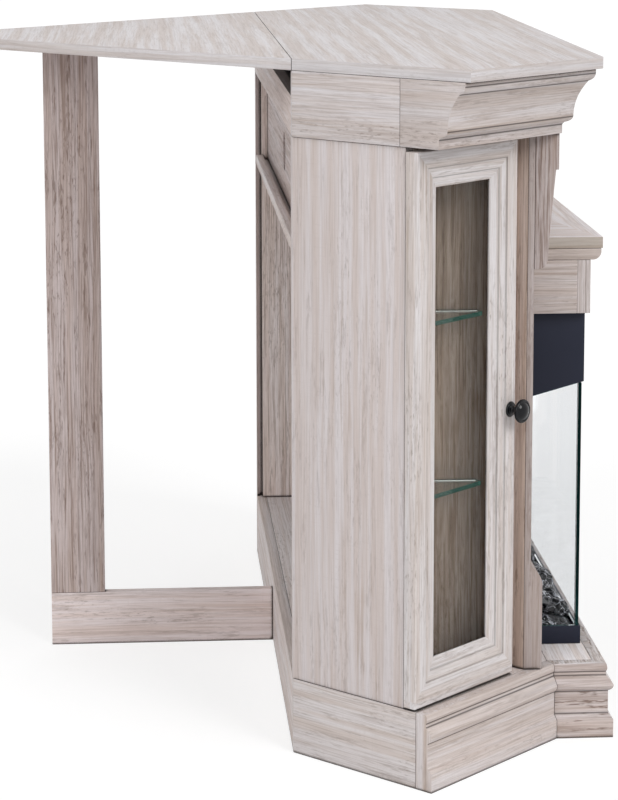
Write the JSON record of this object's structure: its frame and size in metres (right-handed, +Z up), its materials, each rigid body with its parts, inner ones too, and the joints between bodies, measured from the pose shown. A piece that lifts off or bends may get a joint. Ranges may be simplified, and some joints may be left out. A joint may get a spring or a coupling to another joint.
{
  "type": "corner electric fireplace cabinet",
  "caption": "Freestanding corner fireplace cabinet with a mantel top, angled glazed curio cupboards, a media niche and a bay-fronted electric fire on a moulded hearth base.",
  "frame": {"origin": "on the floor under the middle of the outline that the whole piece covers, from the hearth's front to the tip of the corner extension", "axes": "+Z up, -Y towards the front of the fire, +X to the right of a person facing the fire"},
  "size_m": [1.48, 0.8744, 0.965],
  "materials": {
    "pale_wood": "whitewashed oak effect, matt",
    "shaded_wood": "whitewashed oak effect, matt, greyer",
    "clear_glass": "clear polished float glass with a green edge",
    "black_knob": "gloss black",
    "hinge_steel": "nickel plated",
    "black_steel": "satin black powder coat",
    "screen_black": "matt black",
    "ember_charcoal": "moulded ember bed, charcoal with ash grey"
  },
  "bodies": {
    "cabinet": {"base_back_rail": "pale_wood", "ceiling_board": "pale_wood", "ember_bed": "ember_charcoal", "fire_hood": "black_steel", "fire_housing": "black_steel", "fire_tray": "black_steel", "flame_screen": "screen_black", "floor_board": "pale_wood", "frieze_back_rail": "shaded_wood", "front_bay_glass": "clear_glass", "front_crown": "pale_wood", "header_box": "pale_wood", "hearth_board": "pale_wood", "hearth_moulding": "pale_wood", "left_base_moulding": "pale_wood", "left_corbel": "pale_wood", "left_crown": "pale_wood", "left_front_stile": "shaded_wood", "left_glass_shelf_lower": "clear_glass", "left_glass_shelf_upper": "clear_glass", "left_hinge_arm_lower": "hinge_steel", "left_hinge_arm_upper": "hinge_steel", "left_partition": "shaded_wood", "left_pilaster": "pale_wood", "left_side_base_board": "pale_wood", "left_side_bay_glass": "clear_glass", "left_side_frieze": "pale_wood", "left_side_panel": "pale_wood", "mantel_moulding": "pale_wood", "mantel_slab": "pale_wood", "niche_back_panel": "shaded_wood", "niche_shelf": "pale_wood", "rear_post": "shaded_wood", "rear_stretcher": "shaded_wood", "right_base_moulding": "pale_wood", "right_corbel": "pale_wood", "right_crown": "pale_wood", "right_front_stile": "shaded_wood", "right_glass_shelf_lower": "clear_glass", "right_glass_shelf_upper": "clear_glass", "right_hinge_arm_lower": "hinge_steel", "right_hinge_arm_upper": "hinge_steel", "right_partition": "shaded_wood", "right_pilaster": "pale_wood", "right_side_base_board": "pale_wood", "right_side_bay_glass": "clear_glass", "right_side_frieze": "pale_wood", "right_side_panel": "pale_wood", "top_board": "pale_wood", "top_extension": "pale_wood"},
    "left_door": {"left_door_frame": "pale_wood", "left_door_glass": "clear_glass", "left_door_knob": "black_knob", "left_hinge_cup_lower": "hinge_steel", "left_hinge_cup_upper": "hinge_steel"},
    "right_door": {"right_door_frame": "pale_wood", "right_door_glass": "clear_glass", "right_door_knob": "black_knob", "right_hinge_cup_lower": "hinge_steel", "right_hinge_cup_upper": "hinge_steel"}
  },
  "joints": [
    {"name": "left_door_hinge", "type": "hinge", "parent": "cabinet", "child": "left_door", "pos_m": [-0.66575, -0.1216, 0.4815], "axis": [0, 0, -1], "range_deg": [0, 95]},
    {"name": "right_door_hinge", "type": "hinge", "parent": "cabinet", "child": "right_door", "pos_m": [0.66575, -0.1216, 0.4815], "axis": [0, 0, 1], "range_deg": [0, 95]}
  ]
}
